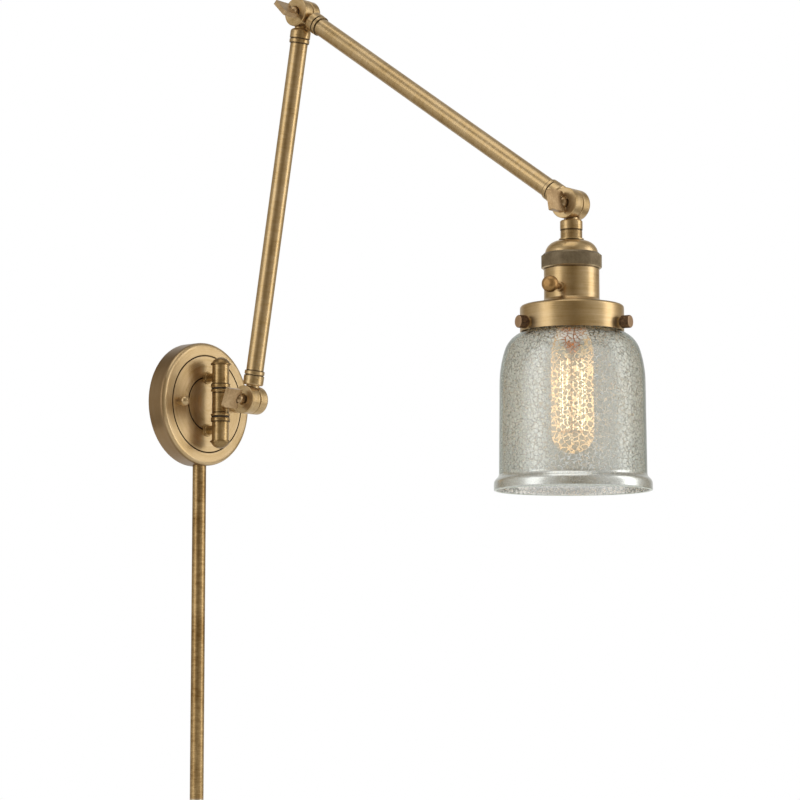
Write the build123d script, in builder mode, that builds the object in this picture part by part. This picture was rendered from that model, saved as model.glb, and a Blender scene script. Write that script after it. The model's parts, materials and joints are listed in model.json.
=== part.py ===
from build123d import *
import os
from math import cos, radians, sin, sqrt

# Swing-arm wall light with a bell shade, millimetres. The wall is the plane y = 0 and the
# light stands out along -Y. X runs along the wall and Z is up. The origin is the middle of
# the wall plate's back.

# ---- Fits ----
seat = 0.05  # play round a fixed piece in its seat
running = 0.05  # play round a shaft that turns
float_gap = 0.3  # space between two bodies that move past each other
overrun = 1.0  # how far a cut runs past the face that it opens

# ---- Wall plate ----
plate_radius = 57.15
plate_depth = 19.0
plate_wall = 1.5
plate_roll = 4.0
groove_radii = (24.5, 45.0)
groove_width = 0.9
groove_depth = 0.6

# ---- Mounting strap and the two plate screws ----
strap_thickness = 2.0
strap_width = 20.0
strap_reach_x = 43.0
strap_reach_z = 50.0
box_spacing = 83.3  # between the wall box's screws
box_slot_length = 10.0
box_slot_width = 4.8
screw_reach = 35.0  # from the middle of the plate to each screw
screw_radius = 2.1
ball_nut_radius = 4.8
ball_nut_neck_radius = 3.2
ball_nut_out = 5.4  # plate face to the ball's middle
ball_nut_thread = 6.6
screw_inset = 0.2  # keeps the screws' ends off the wall

# ---- Swing post: two fixed barrels with a knuckle between them ----
post_out = 36.0
barrel_radius = 7.8
bead_radius = 8.9
bead_height = 4.0
bead_round = 0.8
barrel_height = 21.2
knuckle_half = 12.3
knuckle_bead = 2.2
knuckle_round = 0.7
washer_thickness = 1.2
washer_radius = 8.3
pin_radius = 3.5
pin_chamfer = 0.4
finial_radius = 9.3
finial_flange = 1.8
finial_height = 7.3
finial_step = 0.8  # the dome's foot stands this far inside the flange
finial_round = 0.6
pin_in_finial = 2.5
stub_radius = 4.1
stub_flange_radius = 6.0
stub_flange = 1.2
stub_flange_round = 0.5
stub_root_round = 1.0
stub_thread_radius = 3.1
stub_thread = 9.0
stub_nut_radius = 6.5
stub_nut_thickness = 4.0

# ---- Half swivels, the same at all three hinges ----
base_reach = 38.5  # post axis to base hinge axis
half_thickness = 10.75
seam = 0.5
seam_round = 0.9
disc_radius = 12.8
disc_round = 2.6
face_edge = 0.6
stem_radius = 6.0
shank_radius = 3.0
recess_radius = 5.4
recess_depth = 4.2
blind_wall = 2.6
knuckle_stub_radius = 6.1
base_collar_radius = 10.6
base_collar_start = 13.6
base_collar_end = 22.0
base_collar_round = 1.0
base_collar_shoulder = 3.5
base_tail_radius = 4.0
base_tail = 6.0

# ---- Arms ----
lower_length = 355.0  # base hinge to elbow
upper_length = 366.0  # elbow to head hinge
lower_lean = 10.1  # outwards from straight up
upper_lean = 54.8  # outwards from straight down
tube_radius = 8.0
tube_wall = 1.0
tube_setback = 21.0  # hinge axis to the tube's end
stem_end = 33.0
cup_start = 13.7
cup_radius = 9.3
cup_round = 3.2
plain_cup_round = 1.7  # where no second cup folds past it
cup_groove = 22.6
cup_groove_depth = 0.9
cup_groove_width = 0.7
cup_edge = 0.4
cup_bead_radius = 9.15
cup_bead_round = 0.7
cup_end = 27.0

# ---- Wing screws ----
wing_ball_radius = 4.5
wing_neck_radius = 3.8
wing_length = 18.0  # from the ball's middle to the end of the wing
wing_height = 17.6
wing_thickness = 4.4
wing_corner = 1.0
wing_root = 0.6
wing_notch_radius = 5.3  # clear of the ball, on the front half only
wing_web_height = 7.0
wing_shank_short = 1.0  # the shank ends this far above its bore's end
base_wing_out = 5.0  # from the hinge's face to the ball's middle
elbow_wing_out = 2.8
head_wing_out = 1.5
base_wing_turn = 21.0  # the wing's tilt from upright, outwards
elbow_wing_turn = -44.0
head_wing_turn = -9.0

# ---- Cord cover tube ----
cover_radius = 6.3
cover_wall = 0.8
cover_out = 9.5
cover_inside = 7.0  # how far it reaches up inside the plate
cover_length = 305.0  # below the plate
cover_nut_radius = 7.8
cover_nut_height = 3.6
bushing_height = 4.0
bushing_spigot = 6.0
bushing_bore = 4.8
bushing_round = 1.0
bushing_bore_round = 0.4

# ---- Lamp head: distances down from the head hinge, radii about its upright axis ----
coupling_start = 13.6
coupling_step = 21.9
coupling_end = 30.4
coupling_neck_radius = 8.8
coupling_flange_radius = 10.4
coupling_flange = 1.4
coupling_round = 1.5
spigot_radius = 5.0
spigot_wall = 1.2
spigot_length = 6.0
dome_top_radius = 10.6
dome_top = 30.9
dome_radius = 22.0
sheet = 0.8
ring_radius = 24.6
ring_top = 41.4
ring_bottom = 54.0
ring_chamfer = 1.8
ring_low_chamfer = 0.9
ring_lip = 1.2
shell_radius = 22.8
shell_flare = 79.6
shell_flare_end = 83.8
shell_bottom = 84.6
flare_radius = 27.2
flare_round = 2.0
fitter_radius = 42.7
fitter_bottom = 106.2
fitter_wall = 1.2
fitter_round = 2.6

# ---- Lampholder ----
insulator_radius = 21.6
insulator_top = 47.0
insulator_round = 1.0
insulator_shoulder = 78.1
nose_radius = 18.0
nose_end = 100.0
nose_round = 0.8
screw_shell_radius = 14.4
screw_shell_wall = 0.5
screw_shell_top = 75.0
screw_shell_end = 99.0
contact_hole_radius = 6.0
contact_radius = 4.0
contact_tip_radius = 2.4
shade_ring_radius = 22.0
shade_ring_height = 4.5

# ---- Switch knob ----
switch_drop = 71.5
switch_turn = 190.0  # degrees about the head's axis, from +X
boss_radius = 4.2
boss_reach = 3.4
switch_shaft_radius = 2.6
switch_shaft_inside = 4.0
knob_out = 40.0  # head axis to the knob's middle
knob_radius = 6.8
knob_half_width = 5.6
knob_rounding = 5.0

# ---- Fitter screws ----
fitter_screw_drop = 101.0
fitter_screw_turns = (160.0, 280.0, 40.0)
fitter_screw_radius = 5.0
fitter_screw_head = 8.0
fitter_screw_shank = 2.0
fitter_screw_standoff = 1.2
fitter_screw_round = 0.5
fitter_boss_radius = 3.6
fitter_boss = 1.0

# ---- Glass bell ----
glass_wall = 2.4
neck_radius = 40.0
neck_lip_radius = 41.2
neck_top = 89.0
neck_lip = 2.4
shoulder_start = 104.2
neck_turn_radius = 3.0
neck_turn = 68.0  # degrees
shoulder_radius = 23.4
shoulder_turn = 50.2  # degrees
bell_radius = 59.7
bell_radius_at = 149.0
wall_end_radius = 60.4
wall_end = 222.5
mouth_bend_radius = 5.9  # out, and back again to upright
mouth_bend = 50.0  # degrees
mouth = 236.5

# ---- Bulb ----
cap_radius = 13.1
cap_top = 79.0
cap_bottom = 104.0
cap_shoulder = 2.0
cap_shoulder_height = 3.0
cap_lip = 1.5  # the glass stands this deep in the cap
cap_lip_wall = 0.4
cap_tip_radius = 4.6
cap_tip_end_radius = 2.3
cap_tip = 2.4
bulb_neck_radius = 12.7
bulb_neck_curve = 8.0
bulb_neck_turn = 24.0  # degrees
bulb_radius = 17.6
bulb_straight_end = 189.0
bulb_wall = 0.9
stem_top_radius = 11.6
stem_foot = 102.6  # the stem's foot stands in the cap
stem_top = 104.6
stem_low_radius = 5.4
stem_low = 120.8
stem_nose_radius = 3.0
stem_nose = 123.8
stem_round = 1.0
rod_radius = 1.5
rod_end = 190.0
spider_tops = (128.0, 188.0)
spider_radius = 10.6
spider_height = 1.2
spider_arm = 0.8
spider_hub = 3.0
strand_count = 8
strand_circle = 9.6
strand_radius = 0.5

# ---- Places worked out from the sizes above ----
up = Vector(0, 0, 1)
down = Vector(0, 0, -1)
out = Vector(0, -1, 0)
back = Vector(0, 1, 0)
right = Vector(1, 0, 0)
left = Vector(-1, 0, 0)
lower_way = Vector(0, -sin(radians(lower_lean)), cos(radians(lower_lean)))
upper_way = Vector(0, -sin(radians(upper_lean)), -cos(radians(upper_lean)))
post = out * post_out
base_joint = out * (post_out + base_reach)
elbow_joint = base_joint + lower_way * lower_length
head_joint = elbow_joint + upper_way * upper_length
barrel_start = knuckle_half + float_gap + washer_thickness
barrel_end = barrel_start + barrel_height
barrel_middle = (barrel_start + barrel_end) / 2
head_axis = Axis(head_joint, down)

os.makedirs("parts", exist_ok=True)


def section_plane(origin, along):
    """The plane of a turned piece's half section: x is the radius and y runs along its axis."""
    upright = along.cross(up).length < 0.01
    radial = right if upright else along.cross(up).normalized()
    return Plane(origin=origin, x_dir=radial, z_dir=radial.cross(along))


def turn(origin, along, outline, mode=Mode.ADD):
    """Turns an outline of (radius, distance along the axis, corner rounding or nothing)."""
    points = [(corner[0], corner[1]) for corner in outline]
    rounding = [corner[2] if len(corner) > 2 else 0 for corner in outline]
    with BuildSketch(section_plane(origin, along)) as half_section:
        with BuildLine():
            FilletPolyline(*points, radius=rounding, close=True)
        make_face()
    revolve(half_section.sketch, axis=Axis(origin, along), mode=mode)


def ring(origin, along, inner, outer, start, end, mode=Mode.ADD):
    """Turns a plain ring, or a plain cylinder when the inner radius is nothing."""
    turn(origin, along, [(inner, start), (outer, start), (outer, end), (inner, end)], mode)


def finish(piece, label):
    """Names a finished piece and writes its file."""
    piece.label = label
    export_step(piece, f"parts/{label}.step")


# ---- Wall plate and what holds it ----
with BuildPart() as backplate:
    turn(
        Vector(),
        out,
        [(0, 0), (plate_radius, 0), (plate_radius, plate_depth, plate_roll), (0, plate_depth)],
    )
    turn(
        Vector(),
        out,
        [
            (0, 0),
            (plate_radius - plate_wall, 0),
            (plate_radius - plate_wall, plate_depth - plate_wall, plate_roll - plate_wall),
            (0, plate_depth - plate_wall),
        ],
        Mode.SUBTRACT,
    )
    for groove in groove_radii:
        ring(
            Vector(),
            out,
            groove - groove_width / 2,
            groove + groove_width / 2,
            plate_depth - groove_depth,
            plate_depth + overrun,
            Mode.SUBTRACT,
        )
    with BuildSketch(Plane.XZ):
        with Locations((screw_reach, 0), (-screw_reach, 0)):
            Circle(screw_radius + seat)
        with Locations((0, barrel_middle), (0, -barrel_middle)):
            Circle(stub_thread_radius + seat)
    extrude(amount=plate_depth + overrun, mode=Mode.SUBTRACT)
    ring(
        out * cover_out,
        down,
        0,
        cover_radius + seat,
        plate_radius - cover_inside,
        plate_radius + overrun,
        Mode.SUBTRACT,
    )
finish(backplate.part, "backplate")

with BuildPart() as mounting_strap:
    with BuildSketch(Plane.XZ):
        Rectangle(strap_reach_x * 2, strap_width)
        Rectangle(strap_width, strap_reach_z * 2)
        with Locations((screw_reach, 0), (-screw_reach, 0)):
            Circle(screw_radius + seat, mode=Mode.SUBTRACT)
        with Locations((0, box_spacing / 2), (0, -box_spacing / 2)):
            SlotOverall(box_slot_length, box_slot_width, rotation=90, mode=Mode.SUBTRACT)
    extrude(amount=strap_thickness)
finish(mounting_strap.part, "mounting_strap")

with BuildPart() as mounting_screws:
    for side in (left, right):
        ring(
            side * screw_reach,
            out,
            0,
            screw_radius,
            screw_inset,
            plate_depth + ball_nut_thread,
        )
finish(mounting_screws.part, "mounting_screws")

with BuildPart() as ball_nuts:
    for side in (left, right):
        with Locations(side * screw_reach + out * (plate_depth + ball_nut_out)):
            Sphere(ball_nut_radius)
        ring(
            side * screw_reach,
            out,
            0,
            ball_nut_neck_radius,
            plate_depth,
            plate_depth + ball_nut_out,
        )
        ring(
            side * screw_reach,
            out,
            0,
            screw_radius + seat,
            plate_depth - overrun,
            plate_depth + ball_nut_thread + seat,
            Mode.SUBTRACT,
        )
finish(ball_nuts.part, "ball_nuts")

# ---- Swing post ----
for label, way in (("upper_bracket", up), ("lower_bracket", down)):
    with BuildPart() as bracket:
        turn(
            post,
            way,
            [
                (0, barrel_start),
                (bead_radius, barrel_start, bead_round),
                (bead_radius, barrel_start + bead_height, bead_round),
                (barrel_radius, barrel_start + bead_height),
                (barrel_radius, barrel_end),
                (0, barrel_end),
            ],
        )
        turn(
            way * barrel_middle,
            out,
            [
                (0, plate_depth - stub_thread),
                (stub_thread_radius, plate_depth - stub_thread),
                (stub_thread_radius, plate_depth),
                (stub_flange_radius, plate_depth),
                (stub_flange_radius, plate_depth + stub_flange, stub_flange_round),
                (stub_radius, plate_depth + stub_flange, stub_root_round),
                (stub_radius, post_out),
                (0, post_out),
            ],
        )
        ring(
            post,
            way,
            0,
            pin_radius + seat,
            barrel_start - overrun,
            barrel_end + overrun,
            Mode.SUBTRACT,
        )
    finish(bracket.part, label)

with BuildPart() as bracket_nuts:
    nut_face = plate_depth - plate_wall - stub_nut_thickness
    with BuildSketch(Plane.XZ.offset(nut_face)):
        with Locations((0, barrel_middle), (0, -barrel_middle)):
            RegularPolygon(stub_nut_radius, 6)
            Circle(stub_thread_radius + seat, mode=Mode.SUBTRACT)
    extrude(amount=stub_nut_thickness)
finish(bracket_nuts.part, "bracket_nuts")

with BuildPart() as hinge_pin:
    pin_half = barrel_end + pin_in_finial
    ring(post, up, 0, pin_radius, -pin_half, pin_half)
    chamfer(hinge_pin.edges().filter_by(GeomType.CIRCLE), pin_chamfer)
finish(hinge_pin.part, "hinge_pin")

with BuildPart() as post_washers:
    for way in (up, down):
        ring(
            post,
            way,
            pin_radius + seat,
            washer_radius,
            barrel_start - washer_thickness,
            barrel_start,
        )
finish(post_washers.part, "post_washers")

with BuildPart() as post_finials:
    for way in (up, down):
        dome_base = barrel_end + finial_flange
        with BuildSketch(section_plane(post, way)):
            with BuildLine():
                rim = FilletPolyline(
                    (0, barrel_end),
                    (finial_radius, barrel_end),
                    (finial_radius, dome_base),
                    (finial_radius - finial_step, dome_base),
                    radius=(finial_round, finial_round),
                )
                RadiusArc(
                    (0, barrel_end + finial_height),
                    rim @ 1,
                    finial_radius,
                )
                Line((0, barrel_end), (0, barrel_end + finial_height))
            make_face()
        revolve(axis=Axis(post, way))
        ring(
            post,
            way,
            0,
            pin_radius + seat,
            barrel_end - overrun,
            barrel_end + pin_in_finial + seat,
            Mode.SUBTRACT,
        )
finish(post_finials.part, "post_finials")

# ---- Cord cover tube, down the wall from the plate ----
cover_axis = out * cover_out
cover_end = plate_radius + cover_length
with BuildPart() as cord_cover_tube:
    ring(
        cover_axis,
        down,
        cover_radius - cover_wall,
        cover_radius,
        plate_radius - cover_inside,
        cover_end,
    )
finish(cord_cover_tube.part, "cord_cover_tube")

with BuildPart() as cover_nut:
    nut_seat = sqrt((plate_radius - plate_wall) ** 2 - cover_nut_radius**2) - seat
    with BuildSketch(Plane(origin=cover_axis + down * nut_seat, z_dir=up)):
        RegularPolygon(cover_nut_radius, 6, major_radius=True)
        Circle(cover_radius + seat, mode=Mode.SUBTRACT)
    extrude(amount=cover_nut_height)
finish(cover_nut.part, "cover_nut")

with BuildPart() as cover_bushing:
    turn(
        cover_axis,
        down,
        [
            (bushing_bore, cover_end - bushing_spigot),
            (cover_radius - cover_wall - seat, cover_end - bushing_spigot),
            (cover_radius - cover_wall - seat, cover_end),
            (cover_radius, cover_end),
            (cover_radius, cover_end + bushing_height, bushing_round),
            (bushing_bore, cover_end + bushing_height, bushing_bore_round),
        ],
    )
finish(cover_bushing.part, "cover_bushing")


# ---- Half swivels ----
def swivel_half(centre, way, side, thread, tail=None):
    """Half a swivel: a disc to one side of the seam, and a full round stem along the arm."""
    with BuildPart() as half:
        turn(
            centre,
            side,
            [
                (0, seam / 2),
                (disc_radius, seam / 2, seam_round),
                (disc_radius, half_thickness, disc_round if thread else face_edge),
                (0, half_thickness),
            ],
        )
        ring(centre, way, 0, stem_radius, 0, tail or stem_end)
        ring(
            centre,
            side * -1,
            0,
            disc_radius + float_gap,
            -seam / 2,
            half_thickness + overrun,
            Mode.SUBTRACT,
        )
        bore_end = half_thickness - blind_wall if thread else half_thickness + overrun
        ring(centre, side, 0, shank_radius + running, -half_thickness, bore_end, Mode.SUBTRACT)
        if not thread:
            ring(
                centre,
                side,
                0,
                recess_radius,
                half_thickness - recess_depth,
                half_thickness + overrun,
                Mode.SUBTRACT,
            )
    return half.part


def arm_cup(centre, way, corner):
    """The cup and bead that join a swivel's stem to the arm's tube."""
    with BuildPart() as cup:
        turn(
            centre,
            way,
            [
                (stem_radius + seat, cup_start),
                (cup_radius, cup_start, corner),
                (cup_radius, cup_groove, cup_edge),
                (cup_radius - cup_groove_depth, cup_groove),
                (cup_radius - cup_groove_depth, cup_groove + cup_groove_width),
                (cup_bead_radius, cup_groove + cup_groove_width, cup_bead_round),
                (cup_bead_radius, cup_end, cup_bead_round),
                (tube_radius + seat, cup_end),
                (tube_radius + seat, tube_setback - seat),
                (stem_radius + seat, tube_setback - seat),
            ],
        )
    return cup.part


def arm_tube(centre, way, length):
    """An arm's tube, open at both ends for the wires."""
    with BuildPart() as tube:
        ring(
            centre,
            way,
            tube_radius - tube_wall,
            tube_radius,
            tube_setback,
            length - tube_setback,
        )
    return tube.part


def wing_screw(centre, turned, stand_off):
    """A thumb screw: a shank through the hinge, a ball on its face and a flat wing."""
    ball_out = half_thickness + stand_off
    tilt = radians(turned)
    wing_up = Vector(0, -sin(tilt), cos(tilt))
    with BuildPart() as screw:
        shank_end = -(half_thickness - blind_wall - wing_shank_short)
        ring(centre, left, 0, shank_radius, shank_end, ball_out)
        ring(
            centre,
            left,
            0,
            wing_neck_radius,
            half_thickness - recess_depth + float_gap,
            ball_out,
        )
        with Locations(centre + left * ball_out):
            Sphere(wing_ball_radius)
        ball_centre = centre + left * ball_out
        wing_plane = Plane(origin=ball_centre, x_dir=left, z_dir=left.cross(wing_up))
        with BuildSketch(wing_plane):
            with Locations(((wing_root + wing_length) / 2, 0)):
                RectangleRounded(wing_length - wing_root, wing_height, wing_corner)
            Circle(wing_notch_radius, mode=Mode.SUBTRACT)
        extrude(amount=wing_thickness / 2, both=True)
        with BuildSketch(wing_plane):
            with Locations((wing_length / 4, 0)):
                Rectangle(wing_length / 2, wing_web_height)
        extrude(amount=wing_thickness / 2)
    return screw.part


# ---- Swinging knuckle with the base hinge's fixed half ----
with BuildPart() as knuckle:
    turn(
        post,
        up,
        [
            (0, -knuckle_half),
            (bead_radius, -knuckle_half, knuckle_round),
            (bead_radius, -knuckle_half + knuckle_bead, knuckle_round),
            (barrel_radius, -knuckle_half + knuckle_bead),
            (barrel_radius, knuckle_half - knuckle_bead),
            (bead_radius, knuckle_half - knuckle_bead, knuckle_round),
            (bead_radius, knuckle_half, knuckle_round),
            (0, knuckle_half),
        ],
    )
    ring(post, out, 0, knuckle_stub_radius, 0, base_reach - base_collar_end)
    ring(
        post,
        out,
        0,
        base_tail_radius + seat,
        base_reach - base_collar_end - base_tail - seat,
        base_reach,
        Mode.SUBTRACT,
    )
    ring(
        post,
        up,
        0,
        pin_radius + running,
        -knuckle_half - overrun,
        knuckle_half + overrun,
        Mode.SUBTRACT,
    )
finish(knuckle.part, "knuckle")

with BuildPart() as base_swivel_near:
    add(swivel_half(base_joint, back, left, False, tail=base_collar_end))
    turn(
        base_joint,
        back,
        [
            (0, base_collar_start),
            (base_collar_radius, base_collar_start, base_collar_round),
            (base_collar_radius, base_collar_end, base_collar_shoulder),
            (base_tail_radius, base_collar_end),
            (base_tail_radius, base_collar_end + base_tail),
            (0, base_collar_end + base_tail),
        ],
    )
finish(base_swivel_near.part, "base_swivel_near")

# ---- Lower arm ----
lower_back = lower_way * -1
finish(swivel_half(base_joint, lower_way, right, True), "base_swivel_far")
finish(arm_cup(base_joint, lower_way, plain_cup_round), "lower_foot_cup")
finish(arm_tube(base_joint, lower_way, lower_length), "lower_tube")
finish(arm_cup(elbow_joint, lower_back, cup_round), "lower_head_cup")
finish(swivel_half(elbow_joint, lower_back, left, False), "elbow_swivel_near")

# ---- Upper arm ----
upper_back = upper_way * -1
finish(swivel_half(elbow_joint, upper_way, right, True), "elbow_swivel_far")
finish(arm_cup(elbow_joint, upper_way, cup_round), "upper_foot_cup")
finish(arm_tube(elbow_joint, upper_way, upper_length), "upper_tube")
finish(arm_cup(head_joint, upper_back, plain_cup_round), "upper_head_cup")
finish(swivel_half(head_joint, upper_back, left, False), "head_swivel_near")

# ---- Wing screws ----
finish(wing_screw(base_joint, base_wing_turn, base_wing_out), "base_wing_screw")
finish(wing_screw(elbow_joint, elbow_wing_turn, elbow_wing_out), "elbow_wing_screw")
finish(wing_screw(head_joint, head_wing_turn, head_wing_out), "head_wing_screw")

# ---- Lamp head: coupling, dome, ring and shell ----
finish(swivel_half(head_joint, down, right, True, tail=coupling_step), "head_swivel_far")

with BuildPart() as head_coupling:
    turn(
        head_joint,
        down,
        [
            (stem_radius + seat, coupling_start),
            (cup_radius, coupling_start, coupling_round),
            (cup_radius, coupling_step, cup_edge),
            (coupling_neck_radius, coupling_step),
            (coupling_neck_radius, coupling_end - coupling_flange),
            (coupling_flange_radius, coupling_end - coupling_flange, cup_edge),
            (coupling_flange_radius, coupling_end, cup_edge),
            (spigot_radius, coupling_end),
            (spigot_radius, coupling_end + spigot_length),
            (spigot_radius - spigot_wall, coupling_end + spigot_length),
            (spigot_radius - spigot_wall, coupling_step + seat),
            (stem_radius + seat, coupling_step + seat),
        ],
    )
finish(head_coupling.part, "head_coupling")

dome_rim = ring_top + ring_lip
shell_top = dome_rim + sheet
with BuildPart() as dome_cap:
    with BuildSketch(section_plane(head_joint, down)):
        with BuildLine() as dome_line:
            top = Line((spigot_radius + seat, dome_top), (dome_top_radius, dome_top))
            crown = TangentArc(
                (dome_radius, dome_rim),
                (dome_top_radius, dome_top),
                tangent=(0, -1),
            )
            offset(amount=sheet, side=Side.LEFT)
        make_face()
    revolve(axis=head_axis)
    ring(head_joint, down, dome_radius - sheet, shell_radius, dome_rim, shell_top)
finish(dome_cap.part, "dome_cap")

with BuildPart() as socket_ring:
    turn(
        head_joint,
        down,
        [
            (dome_radius + seat, ring_top),
            (ring_radius - ring_chamfer, ring_top),
            (ring_radius, ring_top + ring_chamfer),
            (ring_radius, ring_bottom - ring_low_chamfer),
            (ring_radius - ring_low_chamfer, ring_bottom),
            (shell_radius + seat, ring_bottom),
            (shell_radius + seat, ring_top + ring_lip),
            (dome_radius + seat, ring_top + ring_lip),
        ],
    )
finish(socket_ring.part, "socket_ring")

# The switch's shaft and the fitter's screws point outwards from the head's axis.
switch_way = Vector(cos(radians(switch_turn)), sin(radians(switch_turn)), 0)
switch_centre = head_joint + down * switch_drop
with BuildPart() as socket_shell:
    turn(
        head_joint,
        down,
        [
            (shell_radius - sheet, shell_top),
            (shell_radius, shell_top),
            (shell_radius, shell_flare, flare_round),
            (flare_radius, shell_flare_end),
            (flare_radius, shell_bottom),
            (flare_radius - sheet, shell_bottom),
            (shell_radius - sheet, shell_flare + sheet),
        ],
    )
    ring(
        switch_centre,
        switch_way,
        0,
        boss_radius,
        shell_radius - sheet / 2,
        shell_radius + boss_reach,
    )
    ring(
        switch_centre,
        switch_way,
        0,
        switch_shaft_radius + running,
        0,
        knob_out,
        Mode.SUBTRACT,
    )
finish(socket_shell.part, "socket_shell")

with BuildPart() as switch_knob:
    turn(
        switch_centre,
        switch_way,
        [
            (0, knob_out - knob_half_width),
            (knob_radius, knob_out - knob_half_width, knob_rounding),
            (knob_radius, knob_out + knob_half_width, knob_rounding),
            (0, knob_out + knob_half_width),
        ],
    )
    ring(
        switch_centre,
        switch_way,
        0,
        switch_shaft_radius,
        shell_radius - switch_shaft_inside,
        knob_out,
    )
finish(switch_knob.part, "switch_knob")

# ---- Lampholder inside the shell ----
with BuildPart() as insulator:
    turn(
        head_joint,
        down,
        [
            (0, insulator_top),
            (insulator_radius, insulator_top, insulator_round),
            (insulator_radius, insulator_shoulder),
            (nose_radius, insulator_shoulder),
            (nose_radius, nose_end, nose_round),
            (screw_shell_radius + seat, nose_end),
            (screw_shell_radius + seat, screw_shell_top),
            (0, screw_shell_top),
        ],
    )
    ring(
        switch_centre,
        switch_way,
        0,
        switch_shaft_radius + float_gap,
        shell_radius - switch_shaft_inside - float_gap,
        shell_radius,
        Mode.SUBTRACT,
    )
finish(insulator.part, "insulator")

with BuildPart() as screw_shell:
    ring(
        head_joint,
        down,
        screw_shell_radius - screw_shell_wall,
        screw_shell_radius,
        screw_shell_top,
        screw_shell_end,
    )
    ring(
        head_joint,
        down,
        contact_hole_radius,
        screw_shell_radius,
        screw_shell_top,
        screw_shell_top + screw_shell_wall,
    )
finish(screw_shell.part, "screw_shell")

with BuildPart() as centre_contact:
    turn(
        head_joint,
        down,
        [
            (0, screw_shell_top),
            (contact_radius, screw_shell_top),
            (contact_tip_radius, cap_top - cap_tip),
            (0, cap_top - cap_tip),
        ],
    )
finish(centre_contact.part, "centre_contact")

# ---- Fitter ----
with BuildPart() as fitter:
    turn(
        head_joint,
        down,
        [
            (nose_radius + seat, shell_bottom),
            (fitter_radius, shell_bottom, fitter_round),
            (fitter_radius, fitter_bottom),
            (fitter_radius - fitter_wall, fitter_bottom),
            (
                fitter_radius - fitter_wall,
                shell_bottom + fitter_wall,
                fitter_round - fitter_wall,
            ),
            (nose_radius + seat, shell_bottom + fitter_wall),
        ],
    )
    for turned in fitter_screw_turns:
        way = Vector(cos(radians(turned)), sin(radians(turned)), 0)
        level = head_joint + down * fitter_screw_drop
        ring(
            level,
            way,
            0,
            fitter_boss_radius,
            fitter_radius - fitter_wall / 2,
            fitter_radius + fitter_boss,
        )
        ring(
            level,
            way,
            0,
            fitter_screw_shank + running,
            fitter_radius - fitter_wall - overrun,
            fitter_radius + fitter_boss + overrun,
            Mode.SUBTRACT,
        )
finish(fitter.part, "fitter")

with BuildPart() as shade_ring:
    ring(
        head_joint,
        down,
        nose_radius + seat,
        shade_ring_radius,
        shell_bottom + fitter_wall,
        shell_bottom + fitter_wall + shade_ring_height,
    )
finish(shade_ring.part, "shade_ring")

for number, turned in enumerate(fitter_screw_turns, start=1):
    way = Vector(cos(radians(turned)), sin(radians(turned)), 0)
    level = head_joint + down * fitter_screw_drop
    head_start = fitter_radius + fitter_boss + fitter_screw_standoff
    with BuildPart() as fitter_screw:
        turn(
            level,
            way,
            [
                (0, neck_radius + float_gap),
                (fitter_screw_shank, neck_radius + float_gap),
                (fitter_screw_shank, head_start),
                (fitter_screw_radius, head_start, fitter_screw_round),
                (fitter_screw_radius, head_start + fitter_screw_head, fitter_screw_round),
                (0, head_start + fitter_screw_head),
            ],
        )
    finish(fitter_screw.part, f"fitter_screw_{number}")

# ---- Glass bell ----
with BuildPart() as glass_bell:
    with BuildSketch(section_plane(head_joint, down)):
        with BuildLine():
            neck_line = Line((neck_radius, neck_top), (neck_radius, shoulder_start))
            turn_out = JernArc(neck_line @ 1, (0, 1), neck_turn_radius, -neck_turn)
            shoulder = JernArc(turn_out @ 1, turn_out % 1, shoulder_radius, shoulder_turn)
            crown = TangentArc(
                shoulder @ 1,
                (bell_radius, bell_radius_at),
                tangent=shoulder % 1,
            )
            side_line = Line(crown @ 1, (wall_end_radius, wall_end))
            bend_out = JernArc(side_line @ 1, side_line % 1, mouth_bend_radius, -mouth_bend)
            bend_back = JernArc(bend_out @ 1, bend_out % 1, mouth_bend_radius, mouth_bend)
            Line(bend_back @ 1, ((bend_back @ 1).X, mouth))
            offset(amount=glass_wall, side=Side.LEFT)
        make_face()
    revolve(axis=head_axis)
    ring(
        head_joint,
        down,
        neck_radius - glass_wall / 2,
        neck_lip_radius,
        neck_top,
        neck_top + neck_lip,
    )
finish(glass_bell.part, "glass_bell")

# ---- Bulb ----
with BuildPart() as bulb_cap:
    turn(
        head_joint,
        down,
        [
            (0, cap_top),
            (cap_radius - cap_shoulder, cap_top),
            (cap_radius, cap_top + cap_shoulder_height),
            (cap_radius, cap_bottom),
            (0, cap_bottom),
        ],
    )
    turn(
        head_joint,
        down,
        [
            (0, cap_bottom - cap_lip),
            (cap_radius - cap_lip_wall, cap_bottom - cap_lip),
            (cap_radius - cap_lip_wall, cap_bottom + overrun),
            (0, cap_bottom + overrun),
        ],
        Mode.SUBTRACT,
    )
    turn(
        head_joint,
        down,
        [
            (0, cap_top - cap_tip),
            (cap_tip_end_radius, cap_top - cap_tip),
            (cap_tip_radius, cap_top),
            (0, cap_top),
        ],
    )
finish(bulb_cap.part, "bulb_cap")

with BuildPart() as bulb_glass:
    with BuildSketch(section_plane(head_joint, down)):
        with BuildLine():
            throat = Line(
                (bulb_neck_radius - seat, cap_bottom - cap_lip + seat),
                (bulb_neck_radius - seat, cap_bottom),
            )
            flare_out = JernArc(throat @ 1, (0, 1), bulb_neck_curve, -bulb_neck_turn)
            swell_radius = (bulb_radius - (flare_out @ 1).X) / (1 - cos(radians(bulb_neck_turn)))
            swell = JernArc(flare_out @ 1, flare_out % 1, swell_radius, bulb_neck_turn)
            barrel = Line(swell @ 1, (bulb_radius, bulb_straight_end))
            JernArc(barrel @ 1, (0, 1), bulb_radius, 90)
            offset(amount=bulb_wall, side=Side.LEFT)
        make_face()
    revolve(axis=head_axis)
finish(bulb_glass.part, "bulb_glass")

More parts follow.
